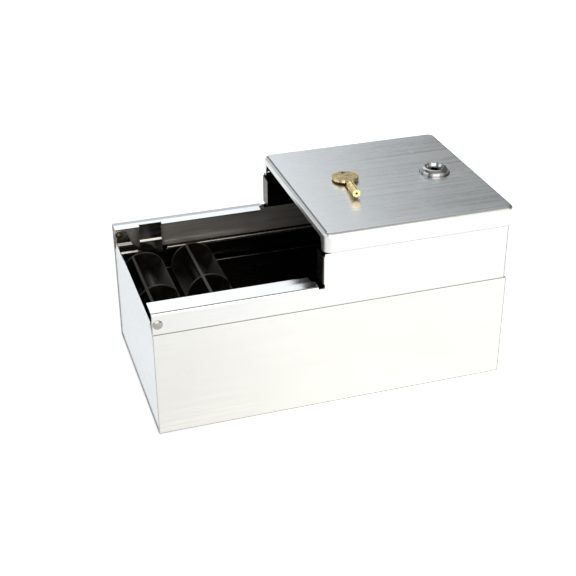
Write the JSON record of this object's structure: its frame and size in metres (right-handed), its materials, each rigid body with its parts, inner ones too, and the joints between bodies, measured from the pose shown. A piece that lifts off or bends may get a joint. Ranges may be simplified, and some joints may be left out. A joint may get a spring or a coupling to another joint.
{
  "type": "toilet tissue dispenser",
  "caption": "Locking sheet-steel tissue dispenser lying on its back: a box with a hinged, open-ended front, ribbed spindles that slide in side tracks, a cam lock and its loose key.",
  "frame": {"origin": "middle of the back plate's outer face, which is the middle of the bounding box's bottom", "axes": "+X along the length, from the dispensing end to the lock end; +Y across the width; +Z out of the wall, from the back plate to the front"},
  "size_m": [0.28, 0.1564, 0.1551],
  "materials": {
    "stainless_body": "satin, fine grain along the length",
    "stainless_front": "satin, fine grain along the length",
    "stainless_inner": "satin, duller inside",
    "zinc_steel": "zinc plated, semi-matte",
    "rivet_brass": "dull",
    "lock_chrome": "polished",
    "key_brass": "worn, semi-polished",
    "black_abs": "semi-gloss moulded",
    "black_nylon": "matte moulded"
  },
  "bodies": {
    "cabinet": {"cabinet_shell": "stainless_body", "bottom_end_panel": "stainless_inner", "top_end_panel": "stainless_inner", "strike_bracket": "zinc_steel", "track_plate_near": "stainless_inner", "track_plate_far": "stainless_inner", "track_guide_near": "stainless_inner", "track_guide_far": "stainless_inner", "hinge_bracket_near": "stainless_inner", "hinge_bracket_far": "stainless_inner", "pivot_spacers": "zinc_steel", "pivot_rivets": "rivet_brass"},
    "door": {"door_wrapper": "stainless_body", "door_front_pan": "stainless_front", "retainer_tab_near": "stainless_inner", "retainer_tab_far": "stainless_inner", "lock_housing": "lock_chrome", "lock_base_ring": "lock_chrome", "lock_tooth_washer": "zinc_steel", "lock_nut": "zinc_steel"},
    "lock_core": {"lock_plug": "lock_chrome", "lock_pins": "key_brass", "lock_cam": "zinc_steel", "cam_washer": "zinc_steel", "cam_screw": "zinc_steel"},
    "loose_key": {"key": "key_brass"},
    "lower_carriage": {"lower_shoes": "black_nylon"},
    "lower_spindle": {"lower_roller": "black_abs"},
    "upper_carriage": {"upper_shoes": "black_nylon"},
    "upper_spindle": {"upper_roller": "black_abs"}
  },
  "joints": [
    {"name": "door_hinge", "type": "hinge", "parent": "cabinet", "child": "door", "pos_m": [-0.1358, 0, 0.0954], "axis": [0, -1, 0], "range_deg": [0, 120]},
    {"name": "lock_turn", "type": "hinge", "parent": "door", "child": "lock_core", "pos_m": [0.108, 0, 0.127], "axis": [0, 0, 1], "range_deg": [0, 90]},
    {"name": "key_lift", "type": "slide", "parent": "door", "child": "loose_key", "axis": [0, 0, 1], "range_m": [0, 0.04]},
    {"name": "upper_slide", "type": "slide", "parent": "cabinet", "child": "upper_carriage", "axis": [1, 0, 0], "range_m": [0, 0.128]},
    {"name": "lower_slide", "type": "slide", "parent": "cabinet", "child": "lower_carriage", "axis": [1, 0, 0], "range_m": [0, 0.0437]},
    {"name": "lower_spin", "type": "hinge", "parent": "lower_carriage", "child": "lower_spindle", "pos_m": [-0.1204, 0, 0.068], "axis": [0, 1, 0], "continuous": true},
    {"name": "upper_spin", "type": "hinge", "parent": "upper_carriage", "child": "upper_spindle", "pos_m": [-0.0788, 0, 0.068], "axis": [0, 1, 0], "continuous": true}
  ],
  "couplings": [
    {"joint": "lower_slide", "follows": "upper_slide", "ratio": 0.341}
  ]
}
